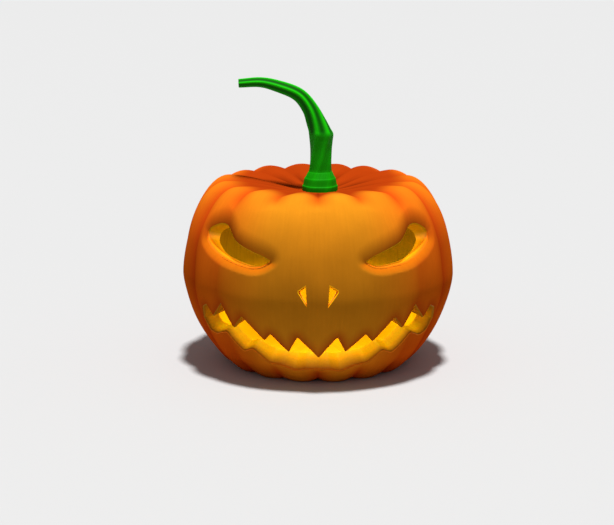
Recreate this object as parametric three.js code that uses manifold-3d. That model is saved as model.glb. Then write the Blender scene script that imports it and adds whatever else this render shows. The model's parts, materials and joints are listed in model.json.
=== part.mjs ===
// Carved pumpkin lantern: a ribbed pumpkin, hollowed to a thick wall, with two slanting eyes, two
// nostrils and a toothed grin cut through it, and the crooked ridged stem that it grew on.
// Millimetres, +Z up, standing on z = 0 round the Z axis, with the face towards -Y.
import * as THREE from 'three';
import { mergeVertices } from 'three/addons/utils/BufferGeometryUtils.js';
import Module from 'manifold-3d';

const wasm = await Module();
wasm.setup();

// ---- The fruit, measured on the crests of its ribs ----
const girthRadius = 140; // the widest ring
const girthHeight = 96; // of that ring above the floor
const fruitHeight = 190; // floor to the rim round the stem hollow
const rimRadius = 95; // ring of highest points, round the stem hollow
const footRadius = 85; // ring of lobes that it stands on
const footTrim = 1.5; // how far those lobes are pressed flat
const shoulderFullness = 1.84; // superellipse exponents: 2 is a quarter ellipse, less is leaner
const flankFullness = 1.5;
const seatRadius = 21; // level disc under the stem
const stemHollowDepth = 12;
const blossomHollowDepth = 12; // hollow of the underside
const blossomRadius = 6;

// ---- Its ribs ----
const ribCount = 16;
const columnsPerRib = 8;
const grooveSharpness = 0.8; // exponent on the lobe's half sine: under 1 is round lobes, tight grooves
const grooveAtStem = 1.5; // groove depths
const grooveAtRim = 5;
const grooveAtGirth = 4;
const grooveAtBlossom = 1;
const fleshRingRadius = 70; // grooves are pressed towards this ring in the middle of the fruit
const grooveWander = THREE.MathUtils.degToRad(0.9); // the ribs are a little uneven in width,
const depthSway = 0.18; // in depth,
const roundSway = 0.005; // and the fruit a little out of round

// ---- The calm front, where the ribs fade and the face is cut ----
const calmHalfAngle = THREE.MathUtils.degToRad(34); // no ribs out to here,
const ribbedHalfAngle = THREE.MathUtils.degToRad(60); // full ribs from here,
const calmTop = 164; // and the same above and below the face
const ribbedTop = 187;
const calmBottom = 28;
const ribbedBottom = 6;
const noseRise = 2.5; // swelling between the nostrils
const noseHeight = 104;
const noseHalfWidth = 9;
const noseHalfLength = 22;

// ---- The scraped-out inside ----
const wall = 23; // at the widest ring
const roofRadius = 68; // ring of the roof's highest points
const roofThickness = 24;
const roofDip = 13; // how far the roof hangs down under the stem hollow
const floorRadius = 62;
const floorHeight = 25;
const roofFullness = 2.1;
const floorFullness = 2.6;
const insideColumns = 48;

// ---- The knife work ----
// The outlines lie on the skin, as [distance round the girth, height] from the middle of the face,
// and the left half mirrors the right. Every cut runs straight towards a point behind the face.
const mouthSight = new THREE.Vector3(0, 0, 100);
const eyeSight = new THREE.Vector3(0, 170, 80);
const nostrilSight = new THREE.Vector3(0, 170, 30);
const cutStart = 20; // the knife starts this far outside the skin
const cutDepth = 45; // and reaches this far inside it
const handWobble = 0.8; // how far it strays

// Each row is a point of the upper edge, then the point of the lower edge across from it.
const halfMouth = [
  [0, 32, 0, 16.5], // middle tooth
  [21.5, 56, 14.5, 19],
  [31.5, 39, 30, 16.5], // second tooth
  [50, 57.5, 46.5, 21.5],
  [60, 48.7, 61, 22], // third tooth
  [81, 72.5, 78, 38],
  [95, 58, 93.5, 32.5], // fourth tooth
  [107, 82, 112, 51],
  [128, 63.7, 132, 45.5], // fifth tooth
  [134, 76, 147, 47.5],
  [142, 72, 150.5, 58], // corner
];
const eye = [
  [50.5, 131, 51, 130], // inner corner
  [58, 134.5, 58, 125],
  [69.5, 138, 68, 123.5],
  [84, 142.5, 80.5, 124.5],
  [95, 146, 95, 126],
  [103.5, 153, 108.5, 128.5],
  [111, 158.5, 122.5, 134],
  [121, 159.5, 136.5, 142],
  [132.5, 155.5, 138.5, 147.5], // outer end
];
const nostril = [
  [11.2, 109.5],
  [10.6, 90],
  [18.5, 103.8],
];
const eyeRollWidth = 8; // the skin rolls in round each eye
const eyeRollDepth = 4;

// ---- The stem ----
const stemGap = 0.3; // between the stem's foot and the fruit
const stemRidges = 5;
const stemSides = 4 * stemRidges;
const stemRidgeHeight = 0.1; // of the radius
const stemTwist = THREE.MathUtils.degToRad(60); // from foot to tip
const stemSteps = 34;
const seatHeight = fruitHeight - stemHollowDepth;
// Centre and radius of the stem, from its foot to its cut tip: [x, height above the seat, radius].
const stemStations = [
  [1.5, stemGap, 17],
  [1.5, 9.5, 14.8], // step of the flared foot
  [2, 17, 11.8],
  [2.5, 20, 11.2], // neck
  [3.1, 44, 10.8],
  [3.5, 57, 11.4], // knuckle at the bend
  [-2, 70, 8.6],
  [-9, 85, 7.8],
  [-20, 97.5, 7],
  [-42, 106.5, 6],
  [-58, 110, 5.1],
  [-80, 109, 4.4],
];

// ---- Building blocks ----

// A closed body through rings of points, with a fan over each end. Seen along the row of rings from
// before the first one, each ring runs counterclockwise.
function loft(rings) {
  const count = rings[0].length;
  const points = rings.flat();
  const faces = [];
  for (let i = 0; i + 1 < rings.length; i++) {
    for (let j = 0; j < count; j++) {
      const next = (j + 1) % count;
      const a = i * count + j;
      const b = (i + 1) * count + j;
      const c = (i + 1) * count + next;
      const d = i * count + next;
      faces.push(a, b, c, a, c, d);
    }
  }
  for (const [ring, base, flip] of [[rings[0], 0, false], [rings.at(-1), points.length - count, true]]) {
    const middle = new THREE.Vector3();
    ring.forEach((point) => middle.addScaledVector(point, 1 / count));
    const hub = points.push(middle) - 1;
    for (let j = 0; j < count; j++) {
      const here = base + j;
      const next = base + (j + 1) % count;
      faces.push(hub, flip ? next : here, flip ? here : next);
    }
  }
  const geometry = new THREE.BufferGeometry().setFromPoints(points);
  geometry.setIndex(faces);
  return geometry;
}

function toSolid(geometry) {
  geometry.deleteAttribute('normal');
  geometry.deleteAttribute('uv');
  const merged = mergeVertices(geometry);
  return new wasm.Manifold(new wasm.Mesh({
    numProp: 3,
    vertProperties: Float32Array.from(merged.attributes.position.array),
    triVerts: Uint32Array.from(merged.index.array),
  }));
}

function toGeometry(solid) {
  const { vertProperties, triVerts } = solid.getMesh();
  const geometry = new THREE.BufferGeometry();
  geometry.setAttribute('position', new THREE.BufferAttribute(vertProperties, 3));
  geometry.setIndex(new THREE.BufferAttribute(triVerts, 1));
  geometry.computeVertexNormals();
  return geometry;
}

// A point at a radius and height, at an angle from the middle of the face towards +X.
function polar(angle, radius, height) {
  return new THREE.Vector3(radius * Math.sin(angle), -radius * Math.cos(angle), height);
}

// Points of a quarter superellipse, as [part of the width, part of the height], from the width's end.
function quarterCurve(fullness, steps) {
  return Array.from({ length: steps + 1 }, (_, i) => {
    const turn = (Math.PI / 2) * (i / steps);
    return [Math.cos(turn) ** (2 / fullness), Math.sin(turn) ** (2 / fullness)];
  });
}

// ---- The outer skin ----

const shoulderHeight = fruitHeight - girthHeight;
const flankHeight = girthHeight + footTrim;
const { lerp, smoothstep } = THREE.MathUtils;

// The side view as rows of [radius, height, groove depth], from under the stem to the blossom end.
function sideRows() {
  const rows = [];
  for (let i = 0; i < 4; i++) {
    const out = i / 4;
    const rise = Math.sin((Math.PI / 2) * out) ** 1.3;
    rows.push([
      lerp(seatRadius, rimRadius, out),
      seatHeight + stemHollowDepth * rise,
      lerp(grooveAtStem, grooveAtRim, rise),
    ]);
  }
  for (const [width, height] of quarterCurve(shoulderFullness, 8).reverse()) {
    rows.push([
      lerp(rimRadius, girthRadius, width),
      girthHeight + shoulderHeight * height,
      lerp(grooveAtGirth, grooveAtRim, height),
    ]);
  }
  for (const [width, height] of quarterCurve(flankFullness, 8).slice(1)) {
    rows.push([lerp(footRadius, girthRadius, width), girthHeight - flankHeight * height, grooveAtGirth]);
  }
  for (let i = 1; i <= 4; i++) {
    const inward = i / 4;
    rows.push([
      lerp(footRadius, blossomRadius, inward),
      blossomHollowDepth * Math.sin((Math.PI / 2) * inward) ** 1.5 - footTrim,
      lerp(grooveAtGirth, grooveAtBlossom, inward),
    ]);
  }
  return rows;
}

// How much of its grooves the skin keeps: none on the calm front, all of them round the rest.
function ribbing(angle, height) {
  const sideways = smoothstep(Math.abs(angle), calmHalfAngle, ribbedHalfAngle);
  const above = smoothstep(height, calmTop, ribbedTop);
  const below = 1 - smoothstep(height, ribbedBottom, calmBottom);
  return Math.max(sideways, above, below);
}

function noseSwelling(angle, height) {
  const across = (angle * girthRadius) / noseHalfWidth;
  const along = (height - noseHeight) / noseHalfLength;
  return noseRise * Math.exp(-across * across - along * along);
}

function fruitSkin() {
  const columns = ribCount * columnsPerRib;
  return loft(sideRows().map(([radius, height, grooveDepth]) =>
    Array.from({ length: columns }, (_, column) => {
      const even = Math.PI * (2 * column / columns - 1);
      const angle = even + grooveWander * Math.sin(3 * even);
      const groove = 1 - Math.abs(Math.sin(ribCount * even / 2)) ** grooveSharpness;
      const depth = grooveDepth * groove * (1 + depthSway * Math.sin(5 * even + 1)) * ribbing(angle, height);
      const push = noseSwelling(angle, height) - depth;
      const outward = new THREE.Vector2(radius - fleshRingRadius, height - girthHeight).normalize();
      const round = 1 + roundSway * Math.sin(2 * even + 0.7);
      return polar(angle, (radius + push * outward.x) * round, height + push * outward.y);
    })));
}

// ---- The inside ----

function inside() {
  const innerRadius = girthRadius - wall;
  const roofHeight = fruitHeight - roofThickness;
  const profile = [];
  for (let i = 0; i < 4; i++) {
    const out = (i + 0.2) / 4;
    profile.push([roofRadius * out, roofHeight - roofDip * Math.cos((Math.PI / 2) * out) ** 2]);
  }
  for (const [width, height] of quarterCurve(roofFullness, 7).reverse()) {
    profile.push([lerp(roofRadius, innerRadius, width), lerp(girthHeight, roofHeight, height)]);
  }
  for (const [width, height] of quarterCurve(floorFullness, 7).slice(1)) {
    profile.push([lerp(floorRadius, innerRadius, width), lerp(girthHeight, floorHeight, height)]);
  }
  return loft(profile.map(([radius, height]) =>
    Array.from({ length: insideColumns }, (_, i) => polar(2 * Math.PI * i / insideColumns, radius, height))));
}

// ---- The cuts ----

// Radius of the smooth skin at a height.
function skinRadius(height) {
  const upper = height > girthHeight;
  const fullness = upper ? shoulderFullness : flankFullness;
  const endRadius = upper ? rimRadius : footRadius;
  const part = Math.abs(height - girthHeight) / (upper ? shoulderHeight : flankHeight);
  return lerp(endRadius, girthRadius, (1 - part ** fullness) ** (1 / fullness));
}

// The point at a depth under the skin on the knife's line through a point of an outline.
function onKnifeLine([arc, height], depth, sight) {
  const stray = handWobble * Math.sin(0.11 * arc + 0.05 * height);
  const skin = polar((arc + stray) / girthRadius, skinRadius(height), height + stray / 2);
  const inward = sight.clone().sub(skin).normalize();
  return skin.addScaledVector(inward, depth);
}

function mirrored(outline) {
  return outline.map((row) => row.map((value, i) => (i % 2 ? value : -value))).reverse();
}

// A slot between an upper and a lower edge, each row given from -X to +X as in halfMouth.
function slot(rows, sight) {
  return loft(rows.map(([upperArc, upper, lowerArc, lower]) => [
    onKnifeLine([lowerArc, lower], -cutStart, sight),
    onKnifeLine([upperArc, upper], -cutStart, sight),
    onKnifeLine([upperArc, upper], cutDepth, sight),
    onKnifeLine([lowerArc, lower], cutDepth, sight),
  ]));
}

function nostrilCut(outline) {
  const ends = [-cutStart, cutDepth];
  return loft(ends.map((depth) => outline.map((point) => onKnifeLine(point, depth, nostrilSight))));
}

// The outline pushed out by a distance, each corner along the mean direction of its two sides.
function grown(outline, distance) {
  const corners = outline.map(([arc, height]) => new THREE.Vector2(arc, height));
  return corners.map((corner, i) => {
    const before = corners.at(i - 1);
    const after = corners[(i + 1) % corners.length];
    const along = after.clone().sub(corner).normalize().add(corner.clone().sub(before).normalize());
    const outward = new THREE.Vector2(along.y, -along.x).normalize();
    return corner.clone().addScaledVector(outward, distance).toArray();
  });
}

// The shallow roll of the skin round an eye: wide at the skin and closing to the eye's own outline.
function eyeRoll(rows) {
  const lowerEdge = rows.map(([, , arc, height]) => [arc, height]);
  const upperEdge = rows.map(([arc, height]) => [arc, height]).reverse();
  const outline = [...lowerEdge, ...upperEdge];
  const wide = grown(outline, 2 * eyeRollWidth);
  return loft(rows.map((_, i) => {
    const across = outline.length - 1 - i;
    return [
      onKnifeLine(wide[i], -eyeRollDepth, eyeSight),
      onKnifeLine(wide[across], -eyeRollDepth, eyeSight),
      onKnifeLine(outline[across], eyeRollDepth, eyeSight),
      onKnifeLine(outline[i], eyeRollDepth, eyeSight),
    ];
  }));
}

function carvedShell() {
  const floorSlab = new THREE.BoxGeometry(4 * girthRadius, 4 * girthRadius, girthRadius);
  floorSlab.translate(0, 0, -girthRadius / 2);
  const mirroredEye = mirrored(eye);
  const cuts = [
    floorSlab,
    inside(),
    slot([...mirrored(halfMouth.slice(1)), ...halfMouth], mouthSight),
    slot(eye, eyeSight),
    slot(mirroredEye, eyeSight),
    eyeRoll(eye),
    eyeRoll(mirroredEye),
    nostrilCut(nostril),
    nostrilCut(mirrored(nostril)),
  ];
  const shell = cuts.reduce((body, cut) => body.subtract(toSolid(cut)), toSolid(fruitSkin()));
  return toGeometry(shell);
}

// ---- The stem ----

function stemBody() {
  // One curve carries the centre in x and z and the radius in y.
  const run = new THREE.CatmullRomCurve3(
    stemStations.map(([x, height, radius]) => new THREE.Vector3(x, radius, seatHeight + height)),
    false,
    'centripetal',
  );
  const rings = [];
  for (let step = stemSteps; step >= 0; step--) {
    const part = step / stemSteps;
    const here = run.getPoint(part);
    const slope = run.getTangent(part);
    const side = new THREE.Vector3(-slope.z, 0, slope.x).normalize();
    const centre = new THREE.Vector3(here.x, 0, here.z);
    rings.push(Array.from({ length: stemSides }, (_, i) => {
      const turn = 2 * Math.PI * i / stemSides;
      const radius = here.y * (1 + stemRidgeHeight * Math.cos(stemRidges * turn));
      const twisted = turn + stemTwist * part;
      return centre.clone()
        .addScaledVector(side, -radius * Math.cos(twisted))
        .add(new THREE.Vector3(0, radius * Math.sin(twisted), 0));
    }));
  }
  return loft(rings);
}

// ---- The parts ----

const pumpkin = new THREE.Group();

const shell = new THREE.Mesh(
  carvedShell(),
  new THREE.MeshStandardMaterial({ color: 0xe8761a, roughness: 0.45, metalness: 0 }),
);
shell.name = 'shell';
pumpkin.add(shell);

const stem = new THREE.Mesh(
  stemBody(),
  new THREE.MeshStandardMaterial({ color: 0x2a8c1a, roughness: 0.6, metalness: 0 }),
);
stem.name = 'stem';
pumpkin.add(stem);

export default pumpkin;
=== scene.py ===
"""Carved pumpkin lantern: the visible shell and stem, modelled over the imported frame.

Metres, +Z up, standing on z = 0 round the Z axis, with the face towards -Y and +X to its right.
"""
import contextlib
import functools
import json
import math

import bpy
import numpy as np
from bpy.props import FloatProperty, FloatVectorProperty, IntProperty, PointerProperty
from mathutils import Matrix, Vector

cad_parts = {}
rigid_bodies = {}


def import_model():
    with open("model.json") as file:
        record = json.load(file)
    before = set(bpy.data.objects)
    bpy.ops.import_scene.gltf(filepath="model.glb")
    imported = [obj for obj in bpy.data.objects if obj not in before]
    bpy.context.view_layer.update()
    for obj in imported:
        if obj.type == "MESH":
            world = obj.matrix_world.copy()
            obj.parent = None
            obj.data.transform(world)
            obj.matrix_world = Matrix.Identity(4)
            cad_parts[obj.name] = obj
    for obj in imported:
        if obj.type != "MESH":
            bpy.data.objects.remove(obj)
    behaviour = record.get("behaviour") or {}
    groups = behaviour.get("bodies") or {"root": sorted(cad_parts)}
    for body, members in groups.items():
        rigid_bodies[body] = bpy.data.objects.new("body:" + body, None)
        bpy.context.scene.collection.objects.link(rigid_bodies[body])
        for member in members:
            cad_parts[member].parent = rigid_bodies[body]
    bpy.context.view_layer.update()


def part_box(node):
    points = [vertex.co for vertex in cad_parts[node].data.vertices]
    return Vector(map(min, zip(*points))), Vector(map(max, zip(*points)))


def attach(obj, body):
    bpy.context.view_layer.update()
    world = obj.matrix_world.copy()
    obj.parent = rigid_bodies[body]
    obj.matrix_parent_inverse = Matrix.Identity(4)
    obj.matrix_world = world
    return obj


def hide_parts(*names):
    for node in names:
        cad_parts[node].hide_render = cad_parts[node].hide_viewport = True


bl_info = {
    "name": "Carved Pumpkin Lantern",
    "version": (1, 0, 0),
    "blender": (4, 5, 0),
    "location": "3D View > Sidebar > Pumpkin",
    "description": "Models a hollowed, carved pumpkin and its stem over their packed frame",
    "category": "Object",
}

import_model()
SHELL_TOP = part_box("shell")[1].z

MM = 0.001
DEGREE = math.pi / 180

# Outlines of the knife work, on the skin: distance round the girth and height, in millimetres.
# Each row is [upper edge, upper height, lower edge, lower height]; the left half mirrors the right.
HALF_GRIN = (
    (0, 32, 0, 16.5),  # middle tooth
    (21.5, 56, 14.5, 19),
    (31.5, 39, 30, 16.5),  # second tooth
    (50, 57.5, 46.5, 21.5),
    (60, 48.7, 61, 22),  # third tooth
    (81, 72.5, 78, 38),
    (95, 58, 93.5, 32.5),  # fourth tooth
    (107, 82, 112, 51),
    (128, 63.7, 132, 45.5),  # fifth tooth
    (134, 76, 147, 47.5),
    (142, 72, 150.5, 58),  # corner
)
EYE = (
    (50.5, 131, 51, 130),  # inner corner
    (58, 134.5, 58, 125),
    (69.5, 138, 68, 123.5),
    (84, 142.5, 80.5, 124.5),
    (95, 146, 95, 126),
    (103.5, 153, 108.5, 128.5),
    (111, 158.5, 122.5, 134),
    (121, 159.5, 136.5, 142),
    (132.5, 155.5, 138.5, 147.5),
    (136.5, 152.8, 138.2, 150),  # outer end
)
NOSTRIL = (
    (11.2, 109.5, 10.6, 90),
    (18.4, 104.4, 18.4, 103.2),
)

# The stem's run from foot to cut tip: x, height above its seat, radius, in millimetres.
STEM_RUN = (
    (2, -1, 17.9),
    (2, 4.8, 17.8),
    (2, 5.6, 17.2),  # first step of the flared foot
    (2, 12.4, 15.8),
    (2, 13.2, 15.2),  # second step
    (2.1, 18.6, 12.5),
    (2.2, 19.6, 11.9),  # neck
    (2.7, 28, 11.3),
    (3, 42, 10.8),
    (3.1, 51, 11.4),
    (3, 58, 12.1),  # knuckle at the bend
    (1.5, 62, 11.2),
    (-2, 70, 9.9),
    (-9.2, 85, 8.1),
    (-20, 97.5, 7),
    (-42, 106.5, 6),
    (-58, 110, 5.1),
    (-80, 109, 4.4),
)


def linear(code):
    """The linear RGBA of an sRGB hex value."""
    parts = [int(code[i:i + 2], 16) / 255 for i in (1, 3, 5)]
    return tuple(c / 12.92 if c <= 0.04045 else ((c + 0.055) / 1.055) ** 2.4 for c in parts) + (1.0,)


def number(name, description, default, kind=FloatProperty, **limits):
    """A value that a user may change."""
    return kind(name=name, description=description, default=default, **limits)


def length(name, description, millimetres):
    """A length that a user may change, in metres."""
    return number(name, description, millimetres * MM, precision=4, subtype="DISTANCE", unit="LENGTH")


def colour(name, description, code):
    """A colour that a user may change."""
    return number(name, description, linear(code), FloatVectorProperty, size=4, min=0, max=1,
                  subtype="COLOR")


# ---- Sizes and colours ----


class FruitSizes(bpy.types.PropertyGroup):
    girth_radius: length("Girth", "Radius of the widest ring", 140)
    girth_height: length("Girth height", "Height of the widest ring", 96)
    height: length("Height", "Floor to the rim round the stem hollow", SHELL_TOP / MM)
    rim_radius: length("Rim", "Radius of the ring of highest points", 95)
    foot_radius: length("Foot", "Radius of the ring of lobes that it stands on", 85)
    foot_trim: length("Foot trim", "How far those lobes are pressed flat", 1.5)
    seat_radius: length("Stem seat", "Radius of the level disc under the stem", 21)
    stem_hollow: length("Stem hollow", "Depth of the hollow round the stem", 12)
    blossom_hollow: length("Blossom hollow", "Depth of the hollow underneath", 12)
    blossom_radius: length("Blossom scar", "Radius of the scar underneath", 6)
    ribs: number("Ribs", "Number of ribs", 16, IntProperty, min=8, max=24)
    groove_at_stem: length("Groove at stem", "Depth of the grooves beside the stem", 1.5)
    groove_at_rim: length("Groove at rim", "Depth of the grooves on the rim", 5)
    groove_at_girth: length("Groove at girth", "Depth of the grooves on the flanks", 4)
    groove_at_blossom: length("Groove at blossom", "Depth of the grooves at the blossom scar", 1)
    nose_rise: length("Nose", "Height of the swelling between the nostrils", 2.5)
    wall: length("Wall", "Thickness of the wall at the girth", 23)
    roof: length("Roof", "Thickness of the roof", 24)
    roof_dip: length("Roof dip", "How far the roof hangs down under the stem", 13)
    roof_radius: length("Roof ring", "Radius of the roof's highest ring", 68)
    floor_radius: length("Inner floor", "Radius of the scraped floor", 62)
    floor_height: length("Floor height", "Height of the scraped floor", 25)


class KnifeWork(bpy.types.PropertyGroup):
    depth: length("Knife depth", "How far the knife reaches in", 45)
    start: length("Knife start", "How far outside the skin the knife starts", 20)
    stray: length("Stray", "How far the knife strays", 0.8)
    arris: length("Arris", "Rounding of the cut edges", 1.3)
    roll_above: length("Roll above", "Width of the rolled skin over each eye", 17)
    roll_below: length("Roll below", "Width of the rolled skin under each eye", 7.5)
    roll_depth: length("Roll depth", "How far that skin rolls in", 6)


class StemSizes(bpy.types.PropertyGroup):
    ridges: number("Ridges", "Number of ridges", 6, IntProperty, min=4, max=8)
    ridge_height: number("Ridge height", "As a part of the radius", 0.1, min=0, max=0.3)
    twist: number("Twist", "Turn of the ridges from foot to tip", 110 * DEGREE, subtype="ANGLE",
                  unit="ROTATION")
    pith: length("Pith", "Depth of the dried pith in the cut tip", 1.2)


class Finishes(bpy.types.PropertyGroup):
    rind_front: colour("Rind, front", "Crests over the face", "#E48E1B")
    rind_side: colour("Rind, sides", "Crests round the rest", "#F06A13")
    rind_groove: colour("Rind, grooves", "Bottom of the grooves", "#D5490F")
    # a deeper red than the rest of the skin, darkened further as painted shade of the hollow
    rind_hollow: colour("Rind, stem hollow", "Skin round the stem", "#AE3B0A")
    # painted shade in the creases beside the stem
    rind_furrow: colour("Rind, furrows", "Creases beside the stem", "#702205")
    # painted shade on the skin over each eye
    rind_brow_shade: colour("Rind, dried", "Skin over the eyes, where it has rolled in", "#8A3F0A")
    # painted light on the ledge under each eye
    rind_ledge_light: colour("Rind, stretched", "Ledge under each eye", "#DE740E")
    # painted shade on the skin along the grin's upper edge
    rind_grin_edge_shade: colour("Rind, cut edge", "Skin shrunk back over the grin", "#96380A")
    flesh: colour("Flesh", "Cut flesh", "#FFB808")
    flesh_edge: colour("Flesh edge", "Cut rind at the skin", "#F4780E")
    # painted shade on cut faces that look down and in the grin's corners
    flesh_shaded: colour("Flesh, dried", "Cut faces that look down", "#966008")
    # painted shade at the upper end of each eye's cut
    flesh_eye_shade: colour("Flesh, dull", "Upper end of the eyes' cut", "#A88604")
    # the lip's colours: painted shade towards its outer edge, where it rounds over, and painted light at
    # its inner side
    lip: colour("Lip", "Cut flesh in the middle of the lip", "#DE9E0E")
    lip_edge: colour("Lip edge", "Cut flesh at the edge of the lip", "#AE640E")
    lip_inside: colour("Lip, inner side", "Cut flesh where the lip meets the hollow", "#FFC606")
    inside: colour("Inside", "Scraped flesh", "#F6C002")
    # darker and more orange on the floor, most of all towards the middle
    inside_floor: colour("Inside, floor", "Scraped flesh at the bottom, where juice gathers", "#D08402")
    # painted shade on scraped flesh high up and at the sides
    inside_shaded: colour("Inside, dried", "Scraped flesh, high up and at the sides", "#886F03")
    stem: colour("Stem", "Skin of the stem", "#1CD404")
    # also the painted shade on the underside of the arm
    stem_dark: colour("Stem, furrows", "Between its ridges", "#085A02")
    pith: colour("Pith", "Cut tip", "#B9C47A")
    floor: colour("Floor", "Painted studio floor", "#C3C3C3")


class StageSizes(bpy.types.PropertyGroup):
    camera_distance: length("Camera distance", "From the middle of the fruit", 1656)
    camera_rise: number("Camera rise", "Above the horizon", 12.8 * DEGREE, subtype="ANGLE",
                        unit="ROTATION")
    lens: number("Lens", "Focal length on a 36 mm sensor", 93.8, min=20, max=200,
                 subtype="DISTANCE_CAMERA", unit="CAMERA")
    floor_size: length("Floor", "Side of the square floor", 60000)
    sun: number("Sun", "Strength of the overhead light", 4.3, min=0)
    sky: number("Sky", "Strength of the soft light all round", 0.22, min=0)
    glow: number("Glow", "Power of the light inside", 0.34, min=0)
    fill: number("Fill", "Power of the fill light inside", 0.2, min=0)


GROUPS = {
    "pumpkin_fruit": FruitSizes,
    "pumpkin_knife": KnifeWork,
    "pumpkin_stem": StemSizes,
    "pumpkin_finishes": Finishes,
    "pumpkin_stage": StageSizes,
}

# ---- Small tools ----


def choose(obj):
    """Deselects everything, then selects that object alone."""
    for other in bpy.context.view_layer.objects:
        other.select_set(other == obj)
    bpy.context.view_layer.objects.active = obj


def piece(name, points, edges, faces):
    """A new object from points, alone selected."""
    mesh = bpy.data.meshes.new(name)
    mesh.from_pydata(np.asarray(points).tolist(), edges, faces)
    made = bpy.data.objects.new(name, mesh)
    bpy.context.scene.collection.objects.link(made)
    choose(made)
    return made


def clear_selection(mesh):
    """Deselects a mesh's points, edges and faces."""
    for item in (*mesh.vertices, *mesh.edges, *mesh.polygons):
        item.select = False


def read_values(items, key, width=1, kind=float):
    """One property of all items, as an array."""
    flat = np.empty(width * len(items), kind)
    items.foreach_get(key, flat)
    return flat.reshape(-1, width) if width > 1 else flat


def read_points(obj):
    return read_values(obj.data.vertices, "co", 3)


def write_points(obj, points):
    obj.data.vertices.foreach_set("co", np.ascontiguousarray(points).ravel())
    obj.data.update()


def write_attributes(obj, **marks):
    """Writes named values, one or three at each point, for the materials to read."""
    for name, values in marks.items():
        kind, key = ("FLOAT", "value") if values.ndim == 1 else ("FLOAT_VECTOR", "vector")
        attribute = obj.data.attributes.new(name, kind, "POINT")
        attribute.data.foreach_set(key, np.ascontiguousarray(values, np.float32).ravel())


@contextlib.contextmanager
def editing(kind=None):
    """Edits the active object, with all of it selected, or what is selected of one kind."""
    bpy.ops.object.mode_set(mode="EDIT")
    if kind:
        bpy.ops.mesh.select_mode(type=kind)
    else:
        bpy.ops.mesh.select_all(action="SELECT")
    yield
    bpy.ops.object.mode_set(mode="OBJECT")


def tidy_normals():
    """Merges doubled points of the active object and turns its faces outwards."""
    with editing():
        bpy.ops.mesh.remove_doubles(threshold=0.001 * MM)
        bpy.ops.mesh.normals_make_consistent(inside=False)


def spun(name, rows, columns):
    """A side view of radius and height, drawn as a line and spun round the axis."""
    line = [(0, -radius, height) for radius, height in rows]
    made = piece(name, line, [(i, i + 1) for i in range(len(line) - 1)], [])
    with editing():
        bpy.ops.mesh.spin(steps=columns, angle=2 * math.pi, center=(0, 0, 0), axis=(0, 0, 1))
    tidy_normals()
    return made


def loft(name, rings, strip_ends):
    """A closed mesh through rings of points. Each end is one face, or a strip across a ring that goes
    out along one edge and back along the other."""
    rows, count = rings.shape[:2]
    here = np.arange(count)
    after = np.roll(here, -1)
    base = (np.arange(rows - 1) * count)[:, None]
    sides = np.stack([base + here, base + after, base + count + after, base + count + here], -1)
    faces = sides.reshape(-1, 4).tolist()
    for start in (0, (rows - 1) * count):
        if strip_ends:
            last = start + count - 1
            faces += [(start + j, start + j + 1, last - j - 1, last - j) for j in range(count // 2 - 1)]
        else:
            faces.append((start + here).tolist())
    made = piece(name, rings.reshape(-1, 3), [], faces)
    tidy_normals()
    return made


def cut_away(body, cutter):
    """Takes the cutter out of the body; the new faces keep the cutter's material."""
    before = len(body.data.polygons)
    choose(body)
    cut = body.modifiers.new("Cut", "BOOLEAN")
    cut.operation = "DIFFERENCE"
    cut.solver = "MANIFOLD"
    cut.material_mode = "TRANSFER"
    cut.object = cutter
    bpy.ops.object.modifier_apply(modifier=cut.name)
    if len(body.data.polygons) == before:
        raise RuntimeError(f"{cutter.name} took nothing away")
    bpy.data.objects.remove(cutter)


def close_seams(body):
    """Merges doubled points, and drops those that only lie along the edge between two faces."""
    choose(body)
    tidy_normals()
    ends = read_values(body.data.edges, "vertices", 2, np.int32)
    edges_there = np.bincount(ends.ravel(), minlength=len(body.data.vertices))
    clear_selection(body.data)
    for point, count in zip(body.data.vertices, edges_there):
        point.select = bool(count == 2)
    with editing("VERT"):
        bpy.ops.mesh.dissolve_verts()


def from_axis(points):
    """Radius, turn from the front, and height of points."""
    x, y, height = points.T
    return np.hypot(x, y), np.arctan2(x, -y), height


def round_axis(radius, angle, height):
    """Points from their radius, turn from the front, and height."""
    return np.stack([radius * np.sin(angle), -radius * np.cos(angle), height], -1)


def smooth_step(x, low, high):
    """0 up to low, 1 from high on, and a smooth rise between them."""
    part = np.clip((x - low) / (high - low), 0, 1)
    return part * part * (3 - 2 * part)


def mix(a, b, part):
    return a + (b - a) * part


def evenly(rows, spacing):
    """The rows of a line, placed anew at an even spacing along its first two columns."""
    steps = np.hypot(*np.diff(rows[:, :2], axis=0).T)
    along = np.concatenate([[0], np.cumsum(steps)])
    places = np.linspace(0, along[-1], max(2, round(along[-1] / spacing) + 1))
    return np.stack([np.interp(places, along, column) for column in rows.T], -1)


# ---- The fruit ----

SHOULDER_FULLNESS = 1.84  # superellipse exponents: 2 is a quarter ellipse, less is leaner
FLANK_FULLNESS = 1.5
ROOF_FULLNESS = 2.1
INNER_FLANK_FULLNESS = 2.6
FLESH_RING = 70 * MM  # grooves are pressed towards this ring in the middle of the fruit
OUT_OF_ROUND = 0.005  # how much wider the fruit is one way than the other
WANDER = 0.9 * DEGREE  # unevenness of the ribs' width
GROOVE_BOTTOM = 0.03  # rounds the bottom of the grooves
NOSE_HEIGHT = 104 * MM
NOSE_HALF_LENGTH = 22 * MM
NOSE_HALF_WIDTH = 9 * MM
LUMP = 0.35 * MM
SAMPLES = 400  # points along each stretch of a side view, before they are spaced evenly
SKIN_SPACING = 2.4 * MM
COLUMNS_PER_RIB = 22
INNER_SPACING = 2.8 * MM
INNER_COLUMNS = 128


def quarter(fullness):
    """A quarter superellipse from its width's end: parts of the width and of the height."""
    turn = np.linspace(0, math.pi / 2, SAMPLES)
    return np.cos(turn) ** (2 / fullness), np.sin(turn) ** (2 / fullness)


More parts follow.
